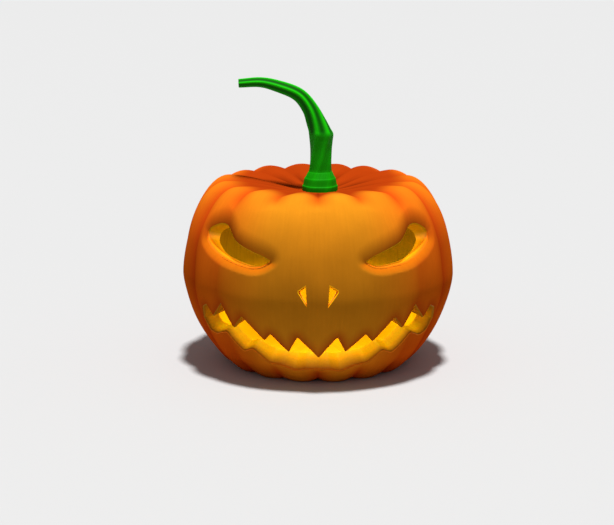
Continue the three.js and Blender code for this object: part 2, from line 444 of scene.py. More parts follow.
def side_view(fruit):
    """Rows of radius, height and groove depth, from under the stem to the blossom scar."""
    part = np.linspace(0, 1, SAMPLES)
    seat_height = fruit.height - fruit.stem_hollow
    rise = np.sin(math.pi / 2 * part) ** 1.3
    seat = (part * fruit.seat_radius, np.full(SAMPLES, seat_height), part * fruit.groove_at_stem)
    hollow = (
        mix(fruit.seat_radius, fruit.rim_radius, part),
        seat_height + fruit.stem_hollow * rise,
        mix(fruit.groove_at_stem, fruit.groove_at_rim, rise),
    )
    width, height = quarter(SHOULDER_FULLNESS)
    shoulder = (
        mix(fruit.rim_radius, fruit.girth_radius, width[::-1]),
        mix(fruit.girth_height, fruit.height, height[::-1]),
        mix(fruit.groove_at_girth, fruit.groove_at_rim, height[::-1]),
    )
    width, height = quarter(FLANK_FULLNESS)
    flank = (
        mix(fruit.foot_radius, fruit.girth_radius, width),
        mix(fruit.girth_height, -fruit.foot_trim, height),
        np.full(SAMPLES, fruit.groove_at_girth),
    )
    underside = (
        mix(fruit.foot_radius, fruit.blossom_radius, part),
        fruit.blossom_hollow * np.sin(math.pi / 2 * part) ** 1.5 - fruit.foot_trim,
        mix(fruit.groove_at_girth, fruit.groove_at_blossom, part),
    )
    scar = (
        fruit.blossom_radius * (1 - part),
        np.full(SAMPLES, fruit.blossom_hollow - fruit.foot_trim),
        fruit.groove_at_blossom * (1 - part),
    )
    return np.hstack([seat, hollow, shoulder, flank, underside, scar]).T


def skin_radius(fruit, height):
    """Radius of the smooth skin at a height."""
    upper = height > fruit.girth_height
    fullness = np.where(upper, SHOULDER_FULLNESS, FLANK_FULLNESS)
    end_radius = np.where(upper, fruit.rim_radius, fruit.foot_radius)
    reach = np.where(upper, fruit.height - fruit.girth_height, fruit.girth_height + fruit.foot_trim)
    part = np.clip(np.abs(height - fruit.girth_height) / reach, 0, 1)
    return mix(end_radius, fruit.girth_radius, (1 - part ** fullness) ** (1 / fullness))


def round_ring(fruit, radius, height):
    """Turn and distance round the ring in the flesh, in the side view."""
    out = radius - FLESH_RING
    up = height - fruit.girth_height
    return np.arctan2(up, out), np.hypot(out, up)


def out_of_round(angle):
    """How much wider than a round fruit it is at an angle."""
    return 1 + OUT_OF_ROUND * np.sin(2 * angle + 0.7)


def ribbing(angle, height):
    """How much of its grooves the skin keeps: none over the face, all of them round the rest."""
    sideways = smooth_step(np.abs(angle), 34 * DEGREE, 60 * DEGREE)
    low = 177 - 17 * smooth_step(np.abs(angle), 22 * DEGREE, 45 * DEGREE)  # millimetres
    above = smooth_step(height, low * MM, 188 * MM)
    below = 1 - smooth_step(height, 6 * MM, 28 * MM)
    return np.maximum(np.maximum(sideways, above), below)


def near_outline(places, outline, reach):
    """Which places are near a closed outline, how far each of them is outside it, 0 inside it, and how
    squarely it is above (1) or below (-1)."""
    near = np.flatnonzero(((places > outline.min(0) - reach) & (places < outline.max(0) + reach)).all(1))
    places = places[near]
    ends = np.roll(outline, -1, axis=0)
    sides = ends - outline
    offsets = places[:, None] - outline
    part = np.clip((offsets * sides).sum(-1) / (sides ** 2).sum(-1), 0, 1)
    away = offsets - part[..., None] * sides
    distances = np.hypot(away[..., 0], away[..., 1])
    nearest = distances.argmin(1), np.arange(len(places))
    distance = distances[nearest[::-1]]
    above = away[nearest[1], nearest[0], 1] / np.maximum(distance, 0.01 * MM)

    crosses = (outline[:, 1] > places[:, None, 1]) != (ends[:, 1] > places[:, None, 1])
    slope = sides[:, 0] / np.where(sides[:, 1] == 0, np.inf, sides[:, 1])
    hits = crosses & (offsets[..., 0] < offsets[..., 1] * slope)
    return near, np.where(hits.sum(1) % 2 == 1, 0, distance), above


class Skin:
    """The fruit's outer skin as formulas, with its ribs and the rolls round the eyes."""

    def __init__(self, fruit, knife):
        self.fruit = fruit
        self.knife = knife
        self.side = side_view(fruit)
        turn, reach = round_ring(fruit, *self.side[:, :2].T)
        self.table = turn[::-1], reach[::-1], self.side[::-1, 2]
        self.eyes = {name: fine_edges(rows, 1.5 * MM, 12, 12)
                     for name, rows in (("eye_right", EYE), ("eye_left", mirrored(EYE)))}
        self.eye_outlines = [self.strayed(closed(edges)) for edges in self.eyes.values()]

    def strayed(self, places):
        """Places on the skin, moved as the knife strays."""
        stray = self.knife.stray * np.sin(places @ (110, 50))
        return places + np.stack([stray, stray / 2], -1)

    def smooth(self, turn):
        """Radius, height and groove depth of the smooth fruit at a turn round the ring in its flesh."""
        turns, reaches, grooves = self.table
        reach = np.interp(turn, turns, reaches)
        height = self.fruit.girth_height + reach * np.sin(turn)
        return FLESH_RING + reach * np.cos(turn), height, np.interp(turn, turns, grooves)

    def between_ribs(self, angle):
        """0 on a rib's crest, rising to 1 midway between two ribs."""
        even = angle - WANDER * np.sin(3 * angle)
        wave = np.sqrt(np.sin(self.fruit.ribs * even / 2) ** 2 + GROOVE_BOTTOM ** 2)
        return 1 - np.clip(wave, 0, 1) ** 0.8

    def groove(self, angle, height):
        """0 on a crest and over the face, rising to 1 in the bottom of a groove."""
        return self.between_ribs(angle) * ribbing(angle, height)

    def roll(self, places):
        """How far the skin has rolled in towards an eye, as a part of the whole: a soft dent above, a crisp
        ledge below. Also how much painted shade darkens the skin over the eye, most of all towards its
        outer end, and how much painted light brightens the ledge under it."""
        knife = self.knife
        fall, over, under = np.zeros((3, len(places)))
        for outline in self.eye_outlines:
            near, distance, above = near_outline(places, outline, knife.roll_above)
            share = (1 + above) / 2
            part = np.clip(1 - distance / mix(knife.roll_below, knife.roll_above, share), 0, 1)
            fall[near] = np.maximum(fall[near], part ** mix(1, 2, share))
            outer = smooth_step(np.abs(places[near, 0]), 55 * MM, 100 * MM)
            # painted shade over the eye, weaker towards the nose
            brow_shade = part ** 1.3 * smooth_step(above, -0.3, 0.6) * mix(0.4, 1, outer)
            over[near] = np.maximum(over[near], brow_shade)
            # painted light on the ledge under the eye
            under[near] = np.maximum(under[near], part ** 0.75 * smooth_step(-above, 0, 0.5))
        return fall, over, under

    def push(self, angle, turn):
        """How far the skin stands out of the smooth fruit, away from the ring in its flesh."""
        radius, height, depth = self.smooth(turn)
        depth = depth * self.groove(angle, height) * (1 + 0.18 * np.sin(5 * angle + 1))
        across = angle * self.fruit.girth_radius / NOSE_HALF_WIDTH
        along = (height - NOSE_HEIGHT) / NOSE_HALF_LENGTH
        nose = self.fruit.nose_rise * np.exp(-across ** 2 - along ** 2)
        lumps = LUMP * (np.sin(7 * angle + 70 * height) + np.sin(11 * angle - 95 * height + 2))
        lumps *= smooth_step(radius, 20 * MM, 45 * MM) * smooth_step(height, 2 * MM, 20 * MM)
        places = np.stack([angle * self.fruit.girth_radius, height], -1)
        return nose + lumps - depth - self.knife.roll_depth * self.roll(places)[0]

    def points(self, angle, turn):
        """Points of the skin, its feet pressed flat."""
        radius, height, _ = self.smooth(turn)
        push = self.push(angle, turn)
        radius = np.maximum(radius + push * np.cos(turn), 0) * out_of_round(angle)
        height = np.maximum(height + push * np.sin(turn), 0)
        return round_axis(radius, angle, height)

    def depth(self, points):
        """How far points are under the skin, towards the ring in the flesh."""
        radius, angle, height = from_axis(points)
        turn, reach = round_ring(self.fruit, radius / out_of_round(angle), height)
        smooth_radius, smooth_height, _ = self.smooth(turn)
        _, smooth_reach = round_ring(self.fruit, smooth_radius, smooth_height)
        return smooth_reach + self.push(angle, turn) - reach


def whole_fruit(skin):
    """The fruit before it is carved: spun smooth, divided more finely round the eyes, then ribbed."""
    fruit = skin.fruit
    made = spun("carved_shell", evenly(skin.side[:, :2], SKIN_SPACING), fruit.ribs * COLUMNS_PER_RIB)
    outlines = np.vstack(skin.eye_outlines)
    margin = skin.knife.roll_above + 2 * MM
    low, high = np.abs(outlines).min(0) - margin, np.abs(outlines).max(0) + margin
    clear_selection(made.data)
    for face in made.data.polygons:
        x, y, height = face.center
        arc = abs(math.atan2(x, -y)) * fruit.girth_radius
        face.select = bool(low[0] < arc < high[0] and low[1] < height < high[1])
    with editing("FACE"):
        bpy.ops.mesh.subdivide(number_cuts=1)

    radius, even, height = from_axis(read_points(made))
    turn, _ = round_ring(fruit, radius, height)
    points = skin.points(even + WANDER * np.sin(3 * even), turn)
    points[radius < 0.1 * MM, :2] = 0  # the two poles stay on the axis
    write_points(made, points)
    return made


def hollow_view(fruit):
    """Rows of radius and height of the scraped hollow, from its roof to its floor."""
    part = np.linspace(0, 1, SAMPLES)
    inner = fruit.girth_radius - fruit.wall
    roof_height = fruit.height - fruit.roof
    roof = (fruit.roof_radius * part, roof_height - fruit.roof_dip * np.cos(math.pi / 2 * part) ** 2)
    width, height = quarter(ROOF_FULLNESS)
    upper = (mix(fruit.roof_radius, inner, width[::-1]), mix(fruit.girth_height, roof_height, height[::-1]))
    width, height = quarter(INNER_FLANK_FULLNESS)
    lower = (mix(fruit.floor_radius, inner, width), mix(fruit.girth_height, fruit.floor_height, height))
    floor = (fruit.floor_radius * (1 - part), np.full(SAMPLES, fruit.floor_height))
    return evenly(np.hstack([roof, upper, lower, floor]).T, INNER_SPACING)


def scraped_hollow(fruit):
    """The inside as the spoon left it, with shallow flutes down the wall."""
    hollow = spun("hollow", hollow_view(fruit), INNER_COLUMNS)
    points = read_points(hollow)
    radius, angle, height = from_axis(points)
    flutes = np.abs(np.sin(14 * angle + 2 * np.sin(3 * angle + 30 * height))) - 0.6
    scoops = np.sin(55 * height + 3 * np.sin(4 * angle))
    push = MM * (1.1 * flutes + 0.4 * scoops) * smooth_step(radius, 25 * MM, 70 * MM)
    points[:, :2] *= (1 + push / np.maximum(radius, 20 * MM))[:, None]
    write_points(hollow, points)
    return hollow


# ---- The knife work ----

GRIN_SIGHT = (0, 0, 0.100)  # every cut runs straight towards one of these points
EYE_SIGHT = (0, 0.170, 0.080)
NOSTRIL_SIGHT = (0, 0.170, 0.030)


def knife_points(skin, places, depth, sight):
    """Points at a depth under the true skin, on the knife's lines through places on the smooth skin."""
    arc, height = skin.strayed(places).T
    angle = arc / skin.fruit.girth_radius
    radius = skin_radius(skin.fruit, height)
    start = round_axis(radius, angle, height)
    inward = np.asarray(sight) - start
    inward /= np.linalg.norm(inward, axis=1)[:, None]
    for _ in range(4):  # each step comes closer to the true skin
        start -= inward * skin.depth(start)[:, None]
    return start + inward * depth


def mirrored(rows):
    return tuple((-upper, upper_height, -lower, lower_height)
                 for upper, upper_height, lower, lower_height in reversed(rows))


def corner_moves(corners):
    """The move of each corner that pushes both its sides outwards by one. Sharp outer corners move
    less."""
    before = corners - np.roll(corners, 1, axis=0)
    after = np.roll(corners, -1, axis=0) - corners
    normals = [np.stack([d[:, 1], -d[:, 0]], -1) / np.hypot(*d.T)[:, None] for d in (before, after)]
    total = normals[0] + normals[1]
    agreement = 1 + (normals[0] * normals[1]).sum(1)
    moves = total / agreement[:, None]
    outer = before[:, 0] * after[:, 1] - before[:, 1] * after[:, 0] > 0
    size = np.hypot(*moves.T)
    limit = np.where(outer, np.minimum(size, 1.4), size)
    return moves * (limit / size)[:, None]


def softened(rows, times):
    """Rows of a line with their corners rounded; its ends stay."""
    for _ in range(times):
        rows[1:-1] = rows[1:-1] / 2 + (rows[:-2] + rows[2:]) / 4
    return rows


def fine_edges(rows, spacing, upper_rounding, lower_rounding):
    """The lower and the upper edge of a slot, each as rows of a place and its outward move."""
    rows = np.array(rows, float) * MM
    lower, upper = rows[:, 2:], rows[:, :2]
    corners = np.vstack([lower, upper[::-1]])
    moves = corner_moves(corners)
    coarse = np.hstack([lower, moves[:len(rows)], upper, moves[len(rows):][::-1]])
    steps = np.maximum(np.hypot(*np.diff(lower, axis=0).T), np.hypot(*np.diff(upper, axis=0).T))
    along = np.concatenate([[0], np.cumsum(steps)])
    places = np.concatenate(
        [np.linspace(a, b, max(2, round((b - a) / spacing)), endpoint=False)
         for a, b in zip(along, along[1:])] + [along[-1:]])
    fine = np.stack([np.interp(places, along, column) for column in coarse.T], -1)
    return softened(fine[:, :4], lower_rounding), softened(fine[:, 4:], upper_rounding)


def closed(edges):
    """The closed outline between a lower and an upper edge."""
    lower, upper = edges
    return np.vstack([lower[:, :2], upper[::-1, :2]])


def slot(name, skin, edges, sight):
    """A cutter between a lower and an upper edge: a clean cut with a rounded arris at the skin and the
    knife's slight waver inside the wall."""
    arris = skin.knife.arris
    stations = [  # depth, and how much wider the cut is there
        (-skin.knife.start, 0.8 * arris),
        (0, 0.8 * arris),
        (0.35 * arris, 0.35 * arris),
        (arris, 0.08 * arris),
        (1.8 * arris, 0),
        (9 * MM, 0.15 * MM),
        (15 * MM, -0.15 * MM),
        (21 * MM, 0.1 * MM),
        (skin.knife.depth, 0),
    ]
    line = []
    for edge, order in zip(edges, (stations, stations[::-1])):
        for depth, wider in order:
            line.append(knife_points(skin, edge[:, :2] + wider * edge[:, 2:], depth, sight))
    return loft(name, np.stack(line, 1), strip_ends=True)


# ---- Materials ----

PART, FIRST, SECOND = 0, 6, 7  # inputs of a colour Mix node: how much of the second colour, both colours


def feed(node, inputs):
    """Fills a node's inputs with values, or links them to outputs of other nodes, by default the first."""
    for key, value in inputs.items():
        if isinstance(value, bpy.types.Node):
            value = next(output for output in value.outputs if output.enabled)
        if isinstance(value, bpy.types.NodeSocket):
            node.id_data.links.new(value, node.inputs[key])
        else:
            node.inputs[key].default_value = value


def add_node(tree, kind, inputs=(), stops=(), **settings):
    """Adds a node. Stops, each a place and a colour or a grey, fill a colour ramp."""
    made = tree.nodes.new("ShaderNode" + kind)
    for name, value in settings.items():
        setattr(made, name, value)
    feed(made, dict(inputs))
    if stops:
        elements = made.color_ramp.elements
        while len(elements) < len(stops):
            elements.new(1)
        for element, (place, value) in zip(elements, stops):
            element.position = place
            element.color = (value, value, value, 1) if isinstance(value, float) else value
    return made


def new_material(name):
    """A material with only its surface shader, that shader, and a way to add nodes beside it."""
    material = bpy.data.materials.new(name)
    material.use_nodes = True
    tree = material.node_tree
    return material, tree.nodes["Principled BSDF"], functools.partial(add_node, tree)


def tinted(add, colour, *layers):
    """Lays tints over a colour, each as far as a number or an attribute of the surface says. They are
    mixed in unless they name another blend."""
    for part, tint, *blend in layers:
        if isinstance(part, str):
            part = add("Attribute", attribute_name=part).outputs["Fac"]
        colour = add("Mix", {PART: part, FIRST: colour, SECOND: tint}, data_type="RGBA",
                     blend_type=blend[0] if blend else "MIX")
    return colour


def fibrous(surface, add, colour, fibres, shades, bump_strength, bump_height):
    """Gives the surface its colour, darker between the fibres of a pattern, and raises the fibres."""
    shade = add("ValToRGB", {0: fibres}, shades)
    bump = add("Bump", {"Strength": bump_strength, "Distance": bump_height, "Height": fibres})
    feed(surface, {"Base Color": tinted(add, colour, (1.0, shade, "MULTIPLY")), "Normal": bump})


def rind_material(finishes):
    """Pumpkin rind, grown and wiped clean: a waxy skin, yellower over the face, redder in the grooves,
    painted darker as shade down towards the girth and below, with pores and faint streaks along the ribs."""
    material, surface, add = new_material("pumpkin_rind")
    place = add("TexCoord").outputs["Object"]
    high = add("SeparateXYZ", {0: place}).outputs["Z"]
    level = add("MapRange", {"Value": high, "From Min": 0.0, "From Max": SHELL_TOP})
    # painted shade by height, from 1 near the top to about a half at the girth
    height_shade = add("ValToRGB", {0: level}, [
        (0.0, (1.0, 0.75, 0.7, 1.0)), (0.12, (0.86, 0.75, 0.68, 1.0)), (0.28, 0.57), (0.48, 0.505),
        (0.7, 0.63), (0.93, 1.0)])

    # mottling 25 mm across, and streaks 2.5 mm wide along the ribs
    mottle = add("TexNoise", {"Vector": place, "Scale": 1 / (25 * MM), "Detail": 3.0, "Roughness": 0.6})
    mottled = add("ValToRGB", {0: mottle}, [(0.3, 0.93), (0.7, 1.0)])
    grain = add("Attribute", attribute_name="grain").outputs["Vector"]
    streak = add("TexNoise", {"Vector": grain, "Scale": 1 / (2.5 * MM), "Detail": 2.0, "Roughness": 0.5})
    streaked = add("ValToRGB", {0: streak}, [(0.3, 0.95), (0.7, 1.0)])

    skin = tinted(
        add, finishes.rind_side,
        ("calm", finishes.rind_front),
        ("groove", finishes.rind_groove),
        # the hollow round the stem: its own redder tone, darker as painted shade
        ("stem_hollow", finishes.rind_hollow),
        # painted shade in the creases beside the stem
        ("furrow", finishes.rind_furrow),
        # painted shade: the skin is painted darker from near the top down to the girth and, beside the
        # face, darker still low on the sides; near the ground it is painted lighter again, against the
        # fruit's shadow on the floor
        (1.0, height_shade, "MULTIPLY"),
        ("low_side", (0.72, 0.62, 0.66, 1.0), "MULTIPLY"),
        # painted shade darkens the skin along the grin's upper edge and over each eye, and painted light
        # brightens the ledge under each eye
        ("scorch", finishes.rind_grin_edge_shade),
        ("over_eye", finishes.rind_brow_shade),
        ("under_eye", finishes.rind_ledge_light),
        (1.0, mottled, "MULTIPLY"),
        (1.0, streaked, "MULTIPLY"))

    # pores are 0.3 mm across, drawn at 1.2 mm so that they show
    pores = add("TexNoise", {"Vector": place, "Scale": 1 / (1.2 * MM), "Detail": 1.0})
    pored = add("Bump", {"Strength": 0.12, "Distance": 0.25 * MM, "Height": pores})
    rippled = add("Bump", {"Strength": 0.25, "Distance": 0.4 * MM, "Height": streak, "Normal": pored})
    gloss = add("MapRange", {"Value": mottle, "To Min": 0.5, "To Max": 0.65})
    feed(surface, {"Base Color": skin, "Roughness": gloss, "Normal": rippled, "IOR": 1.45,
                   "Specular IOR Level": 0.0})
    return material


def flesh_material(finishes):
    """Raw pumpkin flesh, cut with a knife: moist, yellow, fibrous across the wall, with the rind's darker
    line along the skin. The grin's lip is painted in shade towards its outer edge and in light at its inner
    side, and the cut faces that look down are painted in shade."""
    material, surface, add = new_material("pumpkin_flesh_cut")
    layer, lip_layer = (add("Attribute", attribute_name=name).outputs["Fac"]
                        for name in ("layer", "lip_layer"))
    layers = add("ValToRGB", {0: layer}, [(0.3, finishes.flesh_edge), (1.0, finishes.flesh)])
    # painted shade towards the lip's outer edge, painted light at its inner side
    lip_layers = add("ValToRGB", {0: lip_layer}, [
        (0.0, finishes.flesh_edge), (0.12, finishes.lip_edge), (0.52, finishes.lip),
        (0.8, finishes.flesh), (1.0, finishes.lip_inside)])
    cut = tinted(add, layers, ("lip", lip_layers), ("shaded_cut", finishes.flesh_shaded),
                 ("dull_cut", finishes.flesh_eye_shade))
    place = add("TexCoord").outputs["Object"]
    fibres = add("TexNoise", {"Vector": place, "Scale": 1 / (2 * MM), "Detail": 3.0})
    fibrous(surface, add, cut, fibres, [(0.3, 0.9), (0.65, 1.0)], 0.3, 0.4 * MM)
    feed(surface, {"Roughness": 0.5, "Specular IOR Level": 0.04, "Subsurface Weight": 0.12,
                   "Subsurface Radius": (1.0, 0.5, 0.1), "Subsurface Scale": 4 * MM})
    return material


def inside_material(finishes):
    """Pumpkin flesh scraped with a spoon: yellow, dull, with strings left along the wall, darker and more
    orange on the floor towards the middle, and painted in shade high up and at the sides."""
    material, surface, add = new_material("pumpkin_flesh_scraped")
    grain = add("Attribute", attribute_name="grain").outputs["Vector"]
    strings = add("TexNoise", {"Vector": grain, "Scale": 1 / (3 * MM), "Detail": 4.0, "Roughness": 0.6,
                               "Distortion": 0.6})
    flesh = tinted(add, finishes.inside, ("dry_inside", finishes.inside_shaded),
                   ("wet_inside", finishes.inside_floor))
    fibrous(surface, add, flesh, strings, [(0.3, 0.8), (0.6, 1.0)], 0.5, 0.8 * MM)
    feed(surface, {"Roughness": 0.6, "Specular IOR Level": 0.02})
    return material


def stem_material(finishes):
    """Pumpkin stalk, green and woody: ridges lighter than the furrows, the underside of the bent arm in
    painted shade, fibres along its run.
    """
    material, surface, add = new_material("pumpkin_stalk")
    grain = add("Attribute", attribute_name="grain").outputs["Vector"]
    fibres = add("TexNoise", {"Vector": grain, "Scale": 1 / (1.2 * MM), "Detail": 3.0, "Roughness": 0.6})
    bark = tinted(add, finishes.stem_dark, ("ridge", finishes.stem))
    fibrous(surface, add, bark, fibres, [(0.3, 0.82), (0.65, 1.0)], 0.4, 0.5 * MM)
    feed(surface, {"Roughness": 0.6, "Specular IOR Level": 0.06})
    return material


def pith_material(finishes):
    """Cut stalk, dried: pale, dull and corky."""
    material, surface, add = new_material("pumpkin_stalk_cut")
    place = add("TexCoord").outputs["Object"]
    cells = add("TexVoronoi", {"Vector": place, "Scale": 1 / (0.9 * MM)})
    shade = add("ValToRGB", {0: cells}, [(0.1, 1.0), (0.8, 0.75)])
    feed(surface, {"Base Color": tinted(add, finishes.pith, (1.0, shade, "MULTIPLY")), "Roughness": 0.8})
    return material


def floor_material(finishes):
    """Painted board, rolled matt: plain and pale, with the faintest unevenness."""
    material, surface, add = new_material("matt_painted_board")
    place = add("TexCoord").outputs["Object"]
    unevenness = add("TexNoise", {"Vector": place, "Scale": 1 / 0.4})
    gloss = add("MapRange", {"Value": unevenness, "To Min": 0.85, "To Max": 0.95})
    feed(surface, {"Base Color": finishes.floor, "Roughness": gloss, "Specular IOR Level": 0.1})
    return material


# ---- The pieces ----


class PUMPKIN_OT_shell(bpy.types.Operator):
    """Model the hollowed, carved fruit"""

    bl_idname = "pumpkin.shell"
    bl_label = "Carved shell"

    def execute(self, context):
        scene = context.scene
        fruit, knife, finishes = scene.pumpkin_fruit, scene.pumpkin_knife, scene.pumpkin_finishes
        skin = Skin(fruit, knife)
        shell = whole_fruit(skin)
        shell.data.materials.append(rind_material(finishes))
        hollow = scraped_hollow(fruit)
        hollow.data.materials.append(inside_material(finishes))
        cut_away(shell, hollow)

        grin = fine_edges(mirrored(HALF_GRIN[1:]) + HALF_GRIN, 1.2 * MM, 2, 12)
        cutters = [slot("grin", skin, grin, GRIN_SIGHT)]
        for name, rows in (("nostril_right", NOSTRIL), ("nostril_left", mirrored(NOSTRIL))):
            cutters.append(slot(name, skin, fine_edges(rows, 0.8 * MM, 1, 1), NOSTRIL_SIGHT))
        for name, edges in skin.eyes.items():
            cutters.append(slot(name, skin, edges, EYE_SIGHT))
        flesh = flesh_material(finishes)
        for cutter in cutters:
            cutter.data.materials.append(flesh)
            cut_away(shell, cutter)
        close_seams(shell)

        self.mark_skin(shell, skin, grin)
        self.mark_cuts(shell, skin)
        bpy.ops.object.shade_smooth_by_angle(angle=34 * DEGREE)
        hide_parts("shell")
        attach(shell, "root")
        return {"FINISHED"}

    def mark_skin(self, shell, skin, grin):
        """Writes what the rind and the scraped inside follow: where they lie on the fruit, where shade and
        light are painted on them, and the run of the grain."""
        points = read_points(shell)
        radius, angle, height = from_axis(points)
        away = np.abs(angle)
        turn, _ = round_ring(skin.fruit, radius, height)
        ring = skin.fruit.girth_radius
        places = np.stack([angle * ring, skin.smooth(turn)[1]], -1)
        _, over, under = skin.roll(places)
        calm = 1 - smooth_step(away, 15 * DEGREE, 65 * DEGREE)
        behind = smooth_step(away, 80 * DEGREE, 150 * DEGREE)
        hollow = smooth_step(np.degrees(turn) + 6 * behind, 70 + 2 * behind, 90 - 6 * behind)
        beside_stem = smooth_step(radius, 14 * MM, 26 * MM) * (1 - smooth_step(radius, 36 * MM, 78 * MM))
        beside_face = smooth_step(away, 20 * DEGREE, 38 * DEGREE)
        middle_share = 1 - 0.6 * smooth_step(radius, 45 * MM, 100 * MM)
        write_attributes(
            shell,
            over_eye=over,
            under_eye=under,
            groove=skin.groove(angle, height) * smooth_step(radius, 8 * MM, 40 * MM),
            calm=np.maximum(calm, 0.4 * smooth_step(height, 150 * MM, 184 * MM)),
            stem_hollow=hollow,
            # painted shade in the creases beside the stem
            furrow=0.85 * hollow * beside_stem * skin.between_ribs(angle) ** 1.3,
            # painted shade low on the sides beside the face
            low_side=beside_face * (1 - smooth_step(height, 30 * MM, 62 * MM)),
            scorch=self.shade_over_grin(places, grin),
            grain=round_axis(ring, angle, 0.1 * height),
            # painted shade high up and at the sides
            dry_inside=np.maximum(smooth_step(height, 56 * MM, 88 * MM),
                                  smooth_step(np.abs(points[:, 0]), 92 * MM, 118 * MM)),
            # darker towards the middle of the floor
            wet_inside=middle_share * (1 - smooth_step(height, 26 * MM, 40 * MM)))

    def shade_over_grin(self, places, grin):
        """How much painted shade darkens the skin at each place along the upper edge of the grin."""
        reach = 12 * MM
        near, distance, above = near_outline(places, closed(grin), reach)
        scorch = np.zeros(len(places))
        scorch[near] = 0.95 * np.clip(1 - distance / reach, 0, 1) ** 1.3 * smooth_step(above, -0.1, 0.4)
        return scorch

    def mark_cuts(self, shell, skin):
        """Writes what the cut flesh follows: how deep it lies in the wall, and where shade and light are
        painted on it: on faces that look down, at the upper end of each eye and down the eyes' walls, and
        on the grin's lower lip."""
        mesh = shell.data
        corners = read_values(mesh.loops, "vertex_index", kind=np.int32)
        sides = read_values(mesh.polygons, "loop_total", kind=np.int32)
        owners = np.repeat(np.arange(len(sides)), sides)
        slots = read_values(mesh.polygons, "material_index", kind=np.int32)[owners]
        flesh = slots == mesh.materials.find("pumpkin_flesh_cut")
        upward = read_values(mesh.polygons, "normal", 3)[owners, 2]
        count = np.bincount(corners[flesh], minlength=len(mesh.vertices))
        upward = np.bincount(corners[flesh], upward[flesh], len(mesh.vertices)) / np.maximum(count, 1)
        points = read_points(shell)
        _, angle, height = from_axis(points)
        arc = np.abs(angle) * skin.fruit.girth_radius
        depth = skin.depth(points)
        grin = height < 85 * MM
        eyes = (arc > 30 * MM) & ~grin
        downward = 1 - smooth_step(upward, -0.3, 0.2)
        corner = smooth_step(arc, 136 * MM, 150 * MM)
        upper_end = smooth_step(height + 0.35 * depth, 144 * MM, 153 * MM)
        arris = 0.6 * (1 - smooth_step(depth, 1 * MM, 4 * MM))
        # painted light and shade on the eyes' walls: lighter further in, where the upper lid shades them,
        # darker where they look up into the light
        eye_layer = 0.5 + depth / (26 * MM) - 0.2 * smooth_step(upward, 0.3, 0.7)
        layer = np.minimum(depth / (2 * MM), np.where(eyes, eye_layer, 1))
        lip_thickness = mix(21 * MM, 10 * MM, smooth_step(arc, 40 * MM, 78 * MM))
        write_attributes(
            shell,
            # painted shade on the grin's cut faces that look down, and in its corners
            shaded_cut=np.where(grin, np.maximum(downward, 0.6 * corner), 0),
            # painted shade at the upper end of the eyes' cut, and on their faces that look down
            dull_cut=np.where(eyes, np.maximum(upper_end, downward), 0),
            # the lip, where its painted light and shade go
            lip=smooth_step(upward + arris, 0.3, 0.6) * grin,
            layer=np.where(eyes | grin, layer, 1),
            lip_layer=depth / lip_thickness)


def catmull_rom(stations, part):
    """Point and direction on a centripetal Catmull-Rom curve through the stations."""
    first = 2 * stations[0] - stations[1]
    last = 2 * stations[-1] - stations[-2]
    points = np.vstack([first, stations, last])
    place = part * (len(stations) - 1)
    i = min(int(place), len(stations) - 2)
    t = place - i
    p0, p1, p2, p3 = points[i:i + 4]
    gap0, gap1, gap2 = (np.linalg.norm(b - a) ** 0.5 for a, b in ((p0, p1), (p1, p2), (p2, p3)))
    leave = gap1 * ((p1 - p0) / gap0 - (p2 - p0) / (gap0 + gap1) + (p2 - p1) / gap1)
    arrive = gap1 * ((p2 - p1) / gap1 - (p3 - p1) / (gap1 + gap2) + (p3 - p2) / gap2)
    c2 = 3 * (p2 - p1) - 2 * leave - arrive
    c3 = 2 * (p1 - p2) + leave + arrive
    return p1 + leave * t + c2 * t ** 2 + c3 * t ** 3, leave + 2 * c2 * t + 3 * c3 * t ** 2


STEM_STEPS = 187
SIDES_PER_RIDGE = 14
ARM = 56 * MM  # height where the straight neck ends and the bent arm begins


def stem_rings(sizes, seat_height):
    """Rings of points up the stem. Also how far each point is on a ridge's crest, darkened as painted shade
    on the underside of the arm, and its place in the grain."""
    stations = np.array([(x * MM, seat_height + rise * MM, radius * MM) for x, rise, radius in STEM_RUN])
    turn = np.linspace(0, 2 * math.pi, SIDES_PER_RIDGE * sizes.ridges, endpoint=False)
    ridge = 2 * (0.5 + 0.5 * np.cos(sizes.ridges * turn)) ** 1.5 - 1  # narrow crests, wide furrows
    rings, crests, grain = [], [], []
    run = 0  # along the stem
    before = None
    for part in np.linspace(0, 1, STEM_STEPS + 1):
        (x, z, radius), slope = catmull_rom(stations, part)
        rise = z - seat_height
        lean = slope[0] * smooth_step(rise, ARM, 80 * MM)  # level rings up to the knuckle
        across = np.array([-slope[1], 0, lean]) / np.hypot(slope[1], lean)
        centre = np.array([x, 0, z])
        arm = smooth_step(rise, 60 * MM, 85 * MM)
        grown = 0.15 + 0.2 * smooth_step(rise, 14 * MM, 22 * MM) + 0.65 * arm
        section = radius * (1 + grown * sizes.ridge_height * ridge)
        twisted = turn + 50 * DEGREE + sizes.twist * smooth_step(rise, -20 * MM, 100 * MM)
        colouring = mix(0.57, 0.5 + ridge / 2, 0.12 + 0.88 * smooth_step(rise, ARM, 62 * MM))
        # painted shade: the underside of the bent arm is darker
        crests.append(colouring * (1 - 0.65 * smooth_step(-np.cos(twisted) * arm, -0.2, 0.4)))
        rings.append(centre - np.outer(section * np.cos(twisted), across)
                     + np.outer(section * np.sin(twisted), (0, 1, 0)))
        run += 0 if before is None else np.linalg.norm(centre - before)
        before = centre
        grain.append(np.stack([10 * MM * np.cos(turn), 10 * MM * np.sin(turn),
                               np.full(len(turn), 0.08 * run)], -1))
    return np.array(rings), np.hstack(crests), np.vstack(grain)


